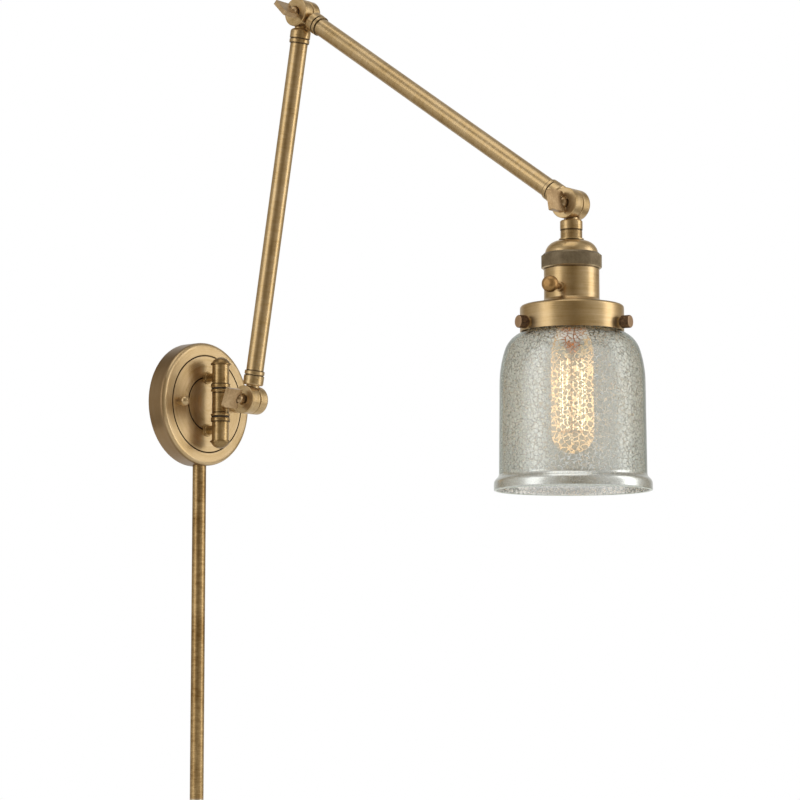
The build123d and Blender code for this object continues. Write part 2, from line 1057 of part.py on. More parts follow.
with BuildPart() as bulb_stem:
    turn(
        head_joint,
        down,
        [
            (0, stem_foot),
            (stem_top_radius, stem_foot),
            (stem_top_radius, stem_top),
            (stem_low_radius, stem_low, stem_round),
            (stem_nose_radius, stem_nose),
            (0, stem_nose),
        ],
    )
finish(bulb_stem.part, "bulb_stem")

with BuildPart() as filament_mount:
    ring(head_joint, down, 0, rod_radius, stem_nose, rod_end)
    for spider_top in spider_tops:
        ring(
            head_joint,
            down,
            0,
            spider_hub,
            spider_top,
            spider_top + spider_height,
        )
        with BuildSketch(Plane(origin=head_joint + down * (spider_top + spider_height), z_dir=up)):
            with PolarLocations(0, strand_count):
                with Locations((spider_radius / 2, 0)):
                    Rectangle(spider_radius, spider_arm)
        extrude(amount=spider_height)
finish(filament_mount.part, "filament_mount")

with BuildPart() as filament:
    with BuildSketch(Plane(origin=head_joint + down * spider_tops[1], z_dir=up)):
        with PolarLocations(strand_circle, strand_count):
            Circle(strand_radius)
    extrude(amount=spider_tops[1] - spider_tops[0] - spider_height)
finish(filament.part, "filament")
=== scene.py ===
import json
from math import cos, pi, radians, sin

import bmesh
import bpy
from mathutils import Matrix, Vector


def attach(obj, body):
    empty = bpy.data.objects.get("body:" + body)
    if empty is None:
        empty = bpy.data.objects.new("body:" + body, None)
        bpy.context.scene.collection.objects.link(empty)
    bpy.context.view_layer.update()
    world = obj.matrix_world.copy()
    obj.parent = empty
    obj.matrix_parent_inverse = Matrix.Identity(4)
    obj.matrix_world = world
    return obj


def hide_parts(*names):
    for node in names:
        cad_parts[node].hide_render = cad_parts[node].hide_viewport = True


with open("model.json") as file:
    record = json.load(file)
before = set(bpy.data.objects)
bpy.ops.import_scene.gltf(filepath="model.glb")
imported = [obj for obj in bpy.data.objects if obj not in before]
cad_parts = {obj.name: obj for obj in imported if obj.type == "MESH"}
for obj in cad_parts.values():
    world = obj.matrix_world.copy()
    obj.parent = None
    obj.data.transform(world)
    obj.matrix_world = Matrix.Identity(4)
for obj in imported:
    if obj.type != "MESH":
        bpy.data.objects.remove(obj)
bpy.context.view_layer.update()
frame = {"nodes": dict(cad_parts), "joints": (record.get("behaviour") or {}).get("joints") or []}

# A brass swing-arm wall light with a bell shade of crackled mirror glass. The scene is in metres;
# sizes are named in millimetres where they are multiplied by mm.

# ---- Where the hinges stand ----
place = {joint["name"]: Vector(joint["pos_m"]) for joint in frame["joints"]}
post_axis = place["swing"]
base_hinge = place["base_wing_turn"]
elbow_hinge = place["elbow_wing_turn"]
head_hinge = place["head_wing_turn"]
lower_way = (elbow_hinge - base_hinge).normalized()
upper_way = (head_hinge - elbow_hinge).normalized()
across = Vector((1, 0, 0))
outward = Vector((0, -1, 0))
down = Vector((0, 0, -1))
mm = 0.001

# ---- The camera and what it is aimed at ----
camera_place = Vector((-1.634344, -1.615959, -0.232509))
camera_aim = Vector((0.121974, -0.150, 0.004792))
camera_lens = 111.116
sensor_width = 36.0
camera_reach = 50

# ---- Floor ----
floor_level = -0.42
floor_radius = 0.9
floor_middle = Vector((0, -0.2, floor_level))
floor_steps = 96
fade_start = 0.35  # shares of the floor's radius between which it fades to white
fade_end = 0.95

# ---- Shade: radii, and distances below the head hinge, in millimetres ----
glass_wall = 2.4
neck_radius = 40.0
neck_lip_radius = 41.2
neck_top = 89.0
neck_lip = 2.4
neck_lip_bevel = 0.5
shoulder_start = 104.2
neck_turn_radius = 3.0
neck_turn = radians(68.0)
shoulder_radius = 23.4
shoulder_turn = radians(50.2)
bell_point = (59.7, 149.0)
wall_point = (60.4, 222.5)
mouth_bend_radius = 5.9
mouth_bend = radians(50.0)
mouth = 236.5
rim_crown = 0.45  # how far the fired rim bulges past the mouth
bell_steps = 144
neck_steps = 6
shoulder_steps = 14
wall_steps = 12
bend_steps = 8
lip_steps = 3

# ---- Threads, knurling and filament, in millimetres ----
ring_top = 43.2
ring_bottom = 53.1
ring_radius = 24.55
ring_ridges = 150
ring_lip = 52.9
ring_lip_end = 53.4
ridge_width = 0.32
thread_top = 22.3
thread_height = 6.3
thread_radius = 8.8
thread_turns = 7
thread_steps = 48
screw_level = 101.0
screw_head_start = 44.9
screw_head_length = 8.0
screw_head_radius = 5.0
screw_head_margin = 0.6  # plain band at each end of a screw head's ridges
screw_turns = (160.0, 280.0, 40.0)
screw_ridges = 36
screw_ridge_width = 0.26
screw_rub = (0.6, 0.2)  # distances from the end face between which it turns from dark to rubbed
filament_top = 129.2
filament_bottom = 188.0
filament_circle = 9.6
filament_wires = 14
filament_width = 0.22
filament_bow = 1.6
filament_steps = 12

# ---- Plate, post, arms and head: where dark lines lie, in millimetres: patina in the plate's grooves, painted shade along seams and past the plate's rim ----
plate_grooves = (24.5, 45.0)
plate_rim = 56.9
post_seams = (-37.0, -17.4, -9.0, 9.0, 17.4, 37.0)
arm_seams = (23.0, 27.2)
head_seams = (22.0, 30.8, 54.3, 84.6)
cover_reach = 9.5
wire_sides = 6
ridge_sides = 4


# ---- Node trees ----
class Wire:
    """A node's output that Python's own operators work on."""

    def __init__(self, sheet, socket):
        self.sheet = sheet
        self.socket = socket

    def at(self, name):
        """Another output of the same node."""
        return Wire(self.sheet, self.socket.node.outputs[name])

    def maths(self, operation, *others):
        values = dict(enumerate((self, *others)))
        return self.sheet.node("ShaderNodeMath", {"operation": operation}, values)

    def __add__(self, other):
        return self.maths("ADD", other)

    __radd__ = __add__

    def __sub__(self, other):
        return self.maths("SUBTRACT", other)

    def __rsub__(self, other):
        return (self * -1.0) + other

    def __mul__(self, other):
        return self.maths("MULTIPLY", other)

    def __truediv__(self, other):
        return self.maths("DIVIDE", other)

    def __pow__(self, other):
        return self.maths("POWER", other)

    def __gt__(self, other):
        return self.maths("GREATER_THAN", other)

    def __abs__(self):
        return self.maths("ABSOLUTE")

    def step(self, low, high):
        """0 below low, 1 above high, smooth between."""
        return self.sheet.node(
            "ShaderNodeMapRange",
            {"interpolation_type": "SMOOTHSTEP"},
            {"Value": self, "From Min": low, "From Max": high},
        )


class Sheet:
    """A node tree that is filled in by one method."""

    def __init__(self, tree):
        self.tree = tree

    def node(self, kind, settings=None, values=None, out=0):
        made = self.tree.nodes.new(kind)
        for name, value in (settings or {}).items():
            if name == "stops":
                ramp = made.color_ramp.elements
                while len(ramp) < len(value):
                    ramp.new(0.5)
                for element, (position, colour) in zip(ramp, value):
                    element.position = position
                    element.color = (*colour, 1.0)
            else:
                setattr(made, name, value)
        for name, value in (values or {}).items():
            socket = made.inputs[name]
            if isinstance(value, Wire):
                self.tree.links.new(value.socket, socket)
            else:
                socket.default_value = value
        return Wire(self, made.outputs[out]) if made.outputs else None

    def vector(self, operation, *values, out="Vector"):
        return self.node(
            "ShaderNodeVectorMath", {"operation": operation}, dict(enumerate(values)), out
        )

    def scaled(self, vector, factor):
        """A vector times a number."""
        return self.node(
            "ShaderNodeVectorMath", {"operation": "SCALE"}, {0: vector, "Scale": factor}
        )

    def ramp(self, factor, stops):
        """A colour picked from stops of (position, colour)."""
        return self.node("ShaderNodeValToRGB", {"stops": stops}, {0: factor})

    def blend(self, factor, low, high, how="MIX"):
        """A mix of two colours."""
        return self.node(
            "ShaderNodeMix",
            {"data_type": "RGBA", "blend_type": how},
            {0: factor, 6: colour4(low), 7: colour4(high)},
            out=2,
        )

    def mixed(self, factor, first, second):
        """A mix of two shaders."""
        return self.node("ShaderNodeMixShader", {}, {0: factor, 1: first, 2: second})

    def noise(self, where, scale, detail=3.0, rough=0.55, w=None, out=0):
        settings = {"noise_dimensions": "4D" if w is not None else "3D"}
        values = {"Vector": where, "Scale": scale, "Detail": detail, "Roughness": rough}
        if w is not None:
            values["W"] = w
        return self.node("ShaderNodeTexNoise", settings, values, out)


def colour4(value):
    return value if isinstance(value, Wire) else (*value, 1.0)


class Finish(Sheet):
    """A surface material: one shader, and what drives it."""

    def __init__(self, name):
        self.material = bpy.data.materials.new(name)
        self.material.use_nodes = True
        super().__init__(self.material.node_tree)
        self.tree.nodes.clear()
        self.where = self.node("ShaderNodeTexCoord", out="Object")

    def surface(self, shader):
        self.node("ShaderNodeOutputMaterial", {}, {"Surface": shader})
        return self.material

    def principled(self, **values):
        named = {key.replace("_", " ").title(): value for key, value in values.items()}
        for key in ("Base Color", "Emission Color"):
            if key in named:
                named[key] = colour4(named[key])
        return self.node("ShaderNodeBsdfPrincipled", {}, named)

    def see_through(self, colour):
        """Lets light straight through, tinted."""
        return self.node("ShaderNodeBsdfTransparent", {}, {"Color": colour4(colour)})

    def facing(self, blend):
        """How far the surface turns away from the eye."""
        return self.node("ShaderNodeLayerWeight", {}, {"Blend": blend}, out="Facing")

    def gloss(self):
        """The share of light that bare glass mirrors."""
        return self.node("ShaderNodeFresnel", {}, {"IOR": glass_index})

    def bump(self, height, distance, strength=1.0):
        return self.node(
            "ShaderNodeBump", {}, {"Height": height, "Distance": distance, "Strength": strength}
        )

    def round_axis(self, centre, along):
        """Distance along a turned piece's axis, distance from it, and the way out from it."""
        local = self.vector("SUBTRACT", self.where, tuple(centre))
        station = self.vector("DOT_PRODUCT", local, tuple(along), out="Value")
        radial = self.vector("SUBTRACT", local, self.scaled(tuple(along), station))
        distance = self.vector("LENGTH", radial, out="Value")
        return station, distance, self.vector("NORMALIZE", radial)


# ---- Brass ----
brass_light = (0.66, 0.495, 0.285)
brass_mid = (0.51, 0.350, 0.160)
brass_dark = (0.24, 0.135, 0.042)
# Patina colour in grooves, and painted shade along seams.
groove_patina_seam_shade = (0.05, 0.028, 0.012)
# The colour of painted shade past the plate's rim.
rim_shade = (0.17, 0.095, 0.04)
brass_metal = 0.9
brass_tone = 0.62
brass_rough = 0.32
fine_lines = 2100.0  # how fast the brush lines change, to the metre
coarse_lines = 420.0
fine_share = 0.55
patch_scale = 45.0
speck_scale = 900.0
brush_depth = 0.04 * mm
pit_depth = 0.03 * mm
groove_line = (0.45 * mm, 0.9 * mm)  # a dark line is full up to the first and gone at the second
seam_shade_band = (0.25 * mm, 0.95 * mm)
rim_width = 0.9


def brushed_brass(name, centre, along, grooves=(), seams=(), shade=0.0, rim=None):
    """Antique brass, brushed round its turning axis, with darker patina in patches and grooves, and
    painted shade along seams.
    """
    f = Finish(name)
    station, distance, way_out = f.round_axis(centre, along)
    reach = station + distance
    fine = f.noise(way_out, 1.3, 2.0, 0.6, w=reach * fine_lines)
    coarse = f.noise(way_out, 0.9, 2.0, 0.5, w=reach * coarse_lines)
    patches = f.noise(f.where, patch_scale, 4.0, 0.6)
    specks = f.noise(f.where, speck_scale, 2.0, 0.6)
    lines = fine * fine_share + coarse * (1 - fine_share)
    tone = (lines - 0.5) * 1.5 + (patches - 0.5) * 0.9 + (specks - 0.5) * 0.25
    # shade darkens the whole piece as painted shade, and below zero lightens it as painted light.
    colour = f.ramp(
        tone + (brass_tone - shade), ((0.0, brass_dark), (0.45, brass_mid), (1.0, brass_light))
    )
    rough = (lines - 0.5) * 0.22 + (patches - 0.5) * 0.12 + brass_rough
    for groove in grooves:
        band = 1.0 - abs(distance - groove * mm).step(*groove_line)
        colour = f.blend(band, colour, groove_patina_seam_shade)
        rough = rough + band * 0.25
    # Dark lines along seams between parts are painted shade.
    for seam in seams:
        band = 1.0 - abs(station - seam * mm).step(*seam_shade_band)
        colour = f.blend(band * 0.8, colour, groove_patina_seam_shade)
    # Past the plate's rim the colour is darkened as painted shade.
    if rim:
        rim_shade_mask = distance.step((rim - rim_width) * mm, rim * mm)
        colour = f.blend(rim_shade_mask * 0.75, colour, rim_shade)
    return f.surface(
        f.principled(
            base_color=colour,
            metallic=brass_metal,
            roughness=rough,
            normal=f.bump(lines, brush_depth, 0.35),
        )
    )


def ring_finish(name):
    """The greyed ring, with a painted highlight along its lower lip."""
    f = Finish(name)
    station, _, _ = f.round_axis(head_hinge, down)
    specks = f.noise(f.where, 500.0, 3.0, 0.65)
    patches = f.noise(f.where, 70.0, 3.0)
    # A painted highlight along the ring's lower lip.
    lip_highlight = station.step(ring_lip * mm, ring_lip_end * mm)
    tone = (patches * 0.6 + specks * 0.4).step(0.3, 0.7)
    plain = f.blend(tone, (0.20, 0.15, 0.09), (0.33, 0.265, 0.17))
    return f.surface(
        f.principled(
            base_color=f.blend(lip_highlight, plain, (0.62, 0.48, 0.28)),
            metallic=brass_metal,
            roughness=0.48 - lip_highlight * 0.12 + (specks - 0.5) * 0.25,
            normal=f.bump(specks, pit_depth, 0.6),
        )
    )


def level_way(turned_to):
    """The level direction at an angle in degrees."""
    return Vector((cos(radians(turned_to)), sin(radians(turned_to)), 0))


def thumb_screw_finish(name, turned_to):
    """A dark thumb screw whose end face is rubbed back to brass."""
    f = Finish(name)
    centre = head_hinge + down * screw_level * mm
    station, distance, _ = f.round_axis(centre, level_way(turned_to))
    specks = f.noise(f.where, 600.0, 3.0, 0.65)
    turned_lines = f.noise(f.where, 60.0, 2.0, 0.5, w=distance * 1500.0)
    head_end = screw_head_start + screw_head_length
    rubbed = station.step((head_end - screw_rub[0]) * mm, (head_end - screw_rub[1]) * mm)
    dark = f.blend(specks.step(0.3, 0.7), (0.11, 0.062, 0.034), (0.27, 0.165, 0.09))
    bright = f.blend(turned_lines.step(0.35, 0.65), (0.42, 0.26, 0.15), (0.64, 0.44, 0.28))
    return f.surface(
        f.principled(
            base_color=f.blend(rubbed, dark, bright),
            metallic=brass_metal,
            roughness=0.42 - rubbed * 0.06 + (specks - 0.5) * 0.2,
            normal=f.bump(specks, pit_depth, 0.5),
        )
    )


def spotted_metal(name, light, dark, rough, metal=1.0):
    """A plain metal or moulded surface with small patches and pits."""
    f = Finish(name)
    patches = f.noise(f.where, 60.0, 3.0)
    specks = f.noise(f.where, 500.0, 3.0, 0.65)
    tone = patches * 0.6 + specks * 0.4
    return f.surface(
        f.principled(
            base_color=f.blend(tone.step(0.3, 0.7), dark, light),
            metallic=metal,
            roughness=(tone - 0.5) * 0.3 + rough,
            normal=f.bump(specks, pit_depth, 0.6),
        )
    )


# ---- Glass ----
flake_scale = 255.0  # how many silver flakes, to the metre
flake_pull = 3.6 * mm  # how far the flakes are pulled out of shape
flake_depth = 0.3 * mm
crack_width = 0.07
crack_cover = 0.24  # how much light the silver holds back in its cracks, and how much more on flakes
flake_cover = 0.58
flake_shine = 0.35
foot_wash = 3.0  # millimetres over which the foot's smooth silver starts
glass_index = 1.45
clear_tint = (0.96, 0.97, 0.95)
edge_tint = (0.52, 0.56, 0.50)
bulb_tint = (1.0, 0.96, 0.88)
lit_start = (118.0, 134.0)  # the bulb's light grows between these drops, and fades between those
lit_end = (190.0, 208.0)
bulb_glow = 0.8
heat_fall = 18.0  # how fast the wire cools away from its middle, to the metre


def bell_glass(name):
    """Clear glass, tinted towards its edges, with a smooth silver wash on the flared foot."""
    f = Finish(name)
    station, _, _ = f.round_axis(head_hinge, down)
    ripple = f.noise(f.where, 60.0, 2.0)
    wash = station.step(wall_point[1] * mm, (wall_point[1] + foot_wash) * mm)
    edge = (f.facing(0.35) ** 2.0) * 0.9 + ripple * 0.06
    body = f.mixed(edge, f.see_through(clear_tint), f.see_through(edge_tint))
    sheen = f.principled(
        base_color=(0.86, 0.88, 0.85), roughness=ripple * 0.03 + wash * 0.2 + 0.05, metallic=1.0
    )
    return f.surface(f.mixed(f.gloss() * 0.85 + wash * 0.55, body, sheen))


def mercury_lining(name):
    """Silver flakes with fine cracks between them, on the inside of the bell."""
    f = Finish(name)
    swirl = f.noise(f.where, 330.0, 2.0, 0.5, out="Color")
    pulled = f.scaled(f.vector("SUBTRACT", swirl, (0.5, 0.5, 0.5)), flake_pull)
    warped = f.vector("ADD", f.where, pulled)
    cells = f.node(
        "ShaderNodeTexVoronoi",
        {"feature": "DISTANCE_TO_EDGE"},
        {"Vector": warped, "Scale": flake_scale, "Randomness": 1.0},
        out="Distance",
    )
    blots = f.noise(f.where, 520.0, 2.0, 0.6)
    drift = f.noise(f.where, 30.0, 3.0, 0.6)
    gap = (drift - 0.5) * 0.12 + (blots - 0.5) * 0.20 + crack_width
    flake = (cells - gap).step(-0.015, 0.035)
    tone = f.noise(warped, 1300.0, 2.0)
    silver = f.blend(tone.step(0.3, 0.7), (0.88, 0.88, 0.85), (1.0, 1.0, 0.98))
    return f.surface(
        f.principled(
            base_color=f.blend(flake, (0.24, 0.25, 0.215), silver),
            metallic=flake * flake_shine,
            roughness=0.42 - flake * 0.16 + (tone - 0.5) * 0.15,
            alpha=flake * flake_cover + crack_cover,
            normal=f.bump(flake + tone * 0.8, flake_depth, 0.7),
        )
    )


def glowing(name, hot, strength, cool):
    """Wire that glows: hotter in the middle of its length and in places."""
    f = Finish(name)
    station, _, _ = f.round_axis(head_hinge, down)
    middle = 1.0 - abs(station - (filament_top + filament_bottom) / 2 * mm) * heat_fall
    spots = f.noise(f.where, 300.0, 2.0)
    heat = (middle * 0.8 + spots * 0.5).step(0.0, 1.0)
    return f.surface(
        f.principled(
            base_color=cool,
            metallic=1.0,
            roughness=spots * 0.2 + 0.3,
            emission_color=f.blend(heat, (0.9, 0.35, 0.08), hot),
            emission_strength=strength,
        )
    )


def lit_glass(name):
    """The bulb's glass, full of warm light between its neck and its tip."""
    f = Finish(name)
    station, _, _ = f.round_axis(head_hinge, down)
    haze = f.noise(f.where, 90.0, 2.0)
    grown = station.step(*(drop * mm for drop in lit_start))
    faded = station.step(*(drop * mm for drop in lit_end))
    lit = grown * (1.0 - faded)
    warm = f.principled(
        base_color=(0.85, 0.76, 0.62),
        roughness=haze * 0.1 + 0.05,
        emission_color=f.blend(f.facing(0.4), (1.0, 0.86, 0.68), (1.0, 0.68, 0.44)),
        emission_strength=bulb_glow,
    )
    share = lit * (0.26 + haze * 0.12) + f.gloss() * 0.2 + 0.02
    return f.surface(f.mixed(share, f.see_through(bulb_tint), warm))


def both_ends(start, end):
    """Where an arm's seams lie along it, measured from its first hinge."""
    length = (end - start).length / mm
    return [*arm_seams, *(length - at for at in arm_seams)]


brass = {
    # The plate is lightened with painted light, the cord cover, behind and below, is darkened with
    # painted shade, and the post is darkened too.
    "plate": brushed_brass(
        "brass_plate", (0, 0, 0), outward, grooves=plate_grooves, shade=-0.12, rim=plate_rim
    ),
    "post": brushed_brass("brass_post", post_axis, -down, seams=post_seams, shade=0.2),
    "base": brushed_brass("brass_base_swivel", base_hinge, across),
    "elbow": brushed_brass("brass_elbow_swivel", elbow_hinge, across),
    "head_swivel": brushed_brass("brass_head_swivel", head_hinge, across),
    "lower": brushed_brass(
        "brass_lower_arm", base_hinge, lower_way, seams=both_ends(base_hinge, elbow_hinge)
    ),
    "upper": brushed_brass(
        "brass_upper_arm", elbow_hinge, upper_way, seams=both_ends(elbow_hinge, head_hinge)
    ),
    "head": brushed_brass("brass_lamp_head", head_hinge, down, seams=head_seams),
    "cover": brushed_brass("brass_cord_cover", outward * cover_reach * mm, down, shade=0.38),
}
steel = spotted_metal("zinc_plated_steel", (0.66, 0.66, 0.63), (0.42, 0.42, 0.41), 0.38)
washer = spotted_metal("oiled_washer", (0.09, 0.065, 0.045), (0.03, 0.022, 0.016), 0.5, 0.7)
knob_brass = spotted_metal(
    "satin_knob_brass", (0.56, 0.33, 0.13), (0.34, 0.19, 0.065), 0.42, 0.85
)
wing_brass = spotted_metal("cast_wing_brass", (0.60, 0.43, 0.24), (0.36, 0.23, 0.11), 0.34, 0.9)
finial_brass = spotted_metal(
    "dull_finial_brass", (0.46, 0.31, 0.135), (0.24, 0.145, 0.055), 0.36, 0.9
)
ring_metal = ring_finish("greyed_ring_brass")
screw_metal = {
    number: thumb_screw_finish(f"thumb_screw_brass_{number}", turned_to)
    for number, turned_to in enumerate(screw_turns, start=1)
}
bright_metal = spotted_metal("pressed_bright_brass", (0.80, 0.62, 0.30), (0.62, 0.45, 0.2), 0.28)
cap_metal = spotted_metal("screw_cap_metal", (0.76, 0.74, 0.7), (0.5, 0.48, 0.45), 0.35)
phenolic = spotted_metal("moulded_phenolic", (0.07, 0.05, 0.04), (0.03, 0.022, 0.018), 0.45, 0.0)
bushing_metal = spotted_metal("pale_bushing", (0.72, 0.66, 0.55), (0.55, 0.48, 0.38), 0.42)
stem_copper = spotted_metal(
    "coppered_stem", (0.80, 0.34, 0.12), (0.10, 0.035, 0.015), 0.3, 0.8
)
mount_wire = spotted_metal("mount_wire", (0.55, 0.36, 0.18), (0.25, 0.14, 0.06), 0.35)
bell_clear = bell_glass("bell_clear_glass")
bell_silver = mercury_lining("bell_mercury_lining")
bell_edge = spotted_metal("bell_fired_edge", (0.80, 0.85, 0.72), (0.62, 0.68, 0.55), 0.15, 0.0)
bulb_clear = lit_glass("bulb_lit_glass")
hot_wire = glowing("filament_glow", (1.0, 0.90, 0.70), 6.0, (0.5, 0.3, 0.12))

# ---- The finish of every piece that comes from the solids ----
node_finish = {
    "backplate": brass["plate"], "mounting_strap": steel, "mounting_screws": steel,
    "ball_nuts": brass["plate"], "upper_bracket": brass["post"], "lower_bracket": brass["post"],
    "bracket_nuts": steel, "hinge_pin": steel, "post_washers": washer,
    "post_finials": finial_brass, "cord_cover_tube": brass["cover"], "cover_nut": steel,
    "cover_bushing": bushing_metal, "knuckle": brass["post"], "base_swivel_near": brass["base"],
    "base_wing_screw": wing_brass, "base_swivel_far": brass["base"],
    "lower_foot_cup": brass["lower"], "lower_tube": brass["lower"],
    "lower_head_cup": brass["lower"], "elbow_swivel_near": brass["elbow"],
    "elbow_wing_screw": wing_brass, "elbow_swivel_far": brass["elbow"],
    "upper_foot_cup": brass["upper"], "upper_tube": brass["upper"],
    "upper_head_cup": brass["upper"], "head_swivel_near": brass["head_swivel"],
    "head_wing_screw": wing_brass, "head_swivel_far": brass["head_swivel"],
    "head_coupling": brass["head"], "dome_cap": brass["head"], "socket_ring": ring_metal,
    "socket_shell": brass["head"], "insulator": phenolic, "screw_shell": bright_metal,
    "centre_contact": bright_metal, "fitter": brass["head"], "shade_ring": brass["head"],
    "bulb_cap": cap_metal, "bulb_glass": bulb_clear, "bulb_stem": stem_copper,
    "filament_mount": mount_wire, "switch_knob": knob_brass, "fitter_screw_1": screw_metal[1],
    "fitter_screw_2": screw_metal[2], "fitter_screw_3": screw_metal[3],
}
for node, finish in node_finish.items():
    piece = frame["nodes"][node]
    piece.data.materials.clear()
    piece.data.materials.append(finish)


# ---- Shapes ----
def placed(name, data):
    """A new object in the scene, at the origin."""
    piece = bpy.data.objects.new(name, data)
    bpy.context.scene.collection.objects.link(piece)
    return piece


def turned(name, outline, steps, finishes, finish_of):
    """A closed shell turned about the head's upright axis from an outline of (radius, drop)."""
    mesh = bmesh.new()
    rings = []
    for radius, drop in outline:
        ring = []
        for i in range(steps):
            angle = 2 * pi * i / steps
            out = Vector((cos(angle) * radius, sin(angle) * radius, -drop))
            ring.append(mesh.verts.new(head_hinge + out * mm))
        rings.append(ring)
    for r, (upper, lower) in enumerate(zip(rings, rings[1:] + rings[:1])):
        for i in range(steps):
            j = (i + 1) % steps
            face = mesh.faces.new((upper[i], lower[i], lower[j], upper[j]))
            face.material_index = finish_of(r)
            face.smooth = True
    bmesh.ops.recalc_face_normals(mesh, faces=mesh.faces)
    data = bpy.data.meshes.new(name)
    mesh.to_mesh(data)
    mesh.free()
    for finish in finishes:
        data.materials.append(finish)
    return placed(name, data)


def arc(start, heading, radius, turn, steps):
    """Points along an arc that leaves start along heading, and the heading at its end."""
    side = 1 if turn > 0 else -1
    centre = (
        start[0] - side * radius * sin(heading),
        start[1] + side * radius * cos(heading),
    )
    points = []
    for i in range(1, steps + 1):
        angle = heading + turn * i / steps
        points.append(
            (centre[0] + side * radius * sin(angle), centre[1] - side * radius * cos(angle))
        )
    return points, heading + turn


def tangent_arc(start, heading, end, steps):
    """Points along the arc that leaves start along heading and ends at end."""
    dx, dy = end[0] - start[0], end[1] - start[1]
    chord = (dx * dx + dy * dy) ** 0.5
    ahead = dx * cos(heading) + dy * sin(heading)
    aside = -dx * sin(heading) + dy * cos(heading)
    half = Vector((ahead, aside)).angle_signed(Vector((1, 0)))
    return arc(start, heading, abs(chord / (2 * sin(half))), 2 * half, steps)


def straight(start, end, steps):
    """Points along a straight run, without its start."""
    run = (end[0] - start[0], end[1] - start[1])
    return [
        (start[0] + run[0] * i / steps, start[1] + run[1] * i / steps)
        for i in range(1, steps + 1)
    ]


def bell_outline():
    """The bell's outer line from the neck's top to the mouth."""
    line = [(neck_radius, neck_top), (neck_radius, shoulder_start)]
    points, heading = arc(line[-1], pi / 2, neck_turn_radius, -neck_turn, neck_steps)
    line += points
    points, heading = arc(line[-1], heading, shoulder_radius, shoulder_turn, shoulder_steps)
    line += points
    points, heading = tangent_arc(line[-1], heading, bell_point, shoulder_steps)
    line += points
    line += straight(bell_point, wall_point, wall_steps)
    wall = Vector((wall_point[0] - bell_point[0], wall_point[1] - bell_point[1]))
    heading = Vector((1, 0)).angle_signed(wall) * -1
    for turn in (-mouth_bend, mouth_bend):
        points, heading = arc(line[-1], heading, mouth_bend_radius, turn, bend_steps)
        line += points
    return line + straight(line[-1], (line[-1][0], mouth), lip_steps)


def inward(line, wall):
    """The same line, one wall's thickness further in."""
    moved = []
    for i, point in enumerate(line):
        before = line[max(i - 1, 0)]
        after = line[min(i + 1, len(line) - 1)]
        run = Vector((after[0] - before[0], after[1] - before[1])).normalized()
        moved.append((point[0] - run.y * wall, point[1] + run.x * wall))
    return moved


outer_line = bell_outline()
inner_line = inward(outer_line, glass_wall)
rim_point = (
    (outer_line[-1][0] + inner_line[-1][0]) / 2,
    (outer_line[-1][1] + inner_line[-1][1]) / 2 + rim_crown,
)
lip = [
    (neck_radius, neck_top + neck_lip),
    (neck_lip_radius, neck_top + neck_lip - neck_lip_bevel),
    (neck_lip_radius, neck_top + neck_lip_bevel),
    (neck_radius, neck_top),
]
outer_part = list(reversed(lip)) + outer_line[1:]
bell = turned(
    "bell_shade",
    outer_part + [rim_point] + list(reversed(inner_line)),
    bell_steps,
    (bell_clear, bell_edge, bell_silver),
    lambda r: 0 if r < len(outer_part) - 1 else 1 if r <= len(outer_part) else 2,
)
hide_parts("glass_bell")
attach(bell, "lamp_head")


# ---- Pieces that repeat a small form round an axis ----
def pattern_piece(name, build, sizes, finish, centre, along, body):
    """Runs a geometry tree with the sizes given by name, and keeps the result as a plain mesh."""
    tree = bpy.data.node_groups.new(name, "GeometryNodeTree")
    face = tree.interface
    face.new_socket("Geometry", in_out="OUTPUT", socket_type="NodeSocketGeometry")
    for key, value in sizes.items():
        kind = "NodeSocketInt" if isinstance(value, int) else "NodeSocketFloat"
        face.new_socket(key, in_out="INPUT", socket_type=kind)
    sheet = Sheet(tree)
    shape = build(sheet, sheet.node("NodeGroupInput"))
    shape = sheet.node("GeometryNodeRealizeInstances", {}, {"Geometry": shape})
    shape = sheet.node("GeometryNodeSetMaterial", {}, {"Geometry": shape, "Material": finish})
    sheet.node("NodeGroupOutput", {}, {"Geometry": shape})
    holder = placed(name + "_holder", bpy.data.meshes.new(name + "_holder"))
    modifier = holder.modifiers.new("pattern", "NODES")
    modifier.node_group = tree
    for item in face.items_tree:
        if item.item_type == "SOCKET" and item.in_out == "INPUT":
            modifier[item.identifier] = sizes[item.name]
    graph = bpy.context.evaluated_depsgraph_get()
    graph.update()
    data = bpy.data.meshes.new_from_object(holder.evaluated_get(graph), depsgraph=graph)
    bpy.data.objects.remove(holder)
    turn = Vector((0, 0, 1)).rotation_difference(Vector(along)).to_matrix().to_4x4()
    data.transform(Matrix.Translation(centre) @ turn)
    data.name = name
    piece = placed(name, data)
    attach(piece, body)
    return piece


def swept(sheet, line, width, sides):
    """A round wire along a curve."""
    profile = sheet.node(
        "GeometryNodeCurvePrimitiveCircle", {}, {"Resolution": sides, "Radius": width}
    )
    return sheet.node(
        "GeometryNodeCurveToMesh",
        {},
        {"Curve": line, "Profile Curve": profile, "Fill Caps": True},
    )


def set_round(sheet, given, shape):
    """Copies of a shape side by side round an axis, each turned to face out."""
    circle = sheet.node(
        "GeometryNodeMeshCircle",
        {},
        {"Vertices": given.at("Count"), "Radius": given.at("Radius")},
    )
    where = sheet.node("GeometryNodeInputPosition")
    turned_out = sheet.node("FunctionNodeAlignRotationToVector", {"axis": "X"}, {"Vector": where})
    return sheet.node(
        "GeometryNodeInstanceOnPoints",
        {},
        {"Points": circle, "Instance": shape, "Rotation": turned_out},
    )


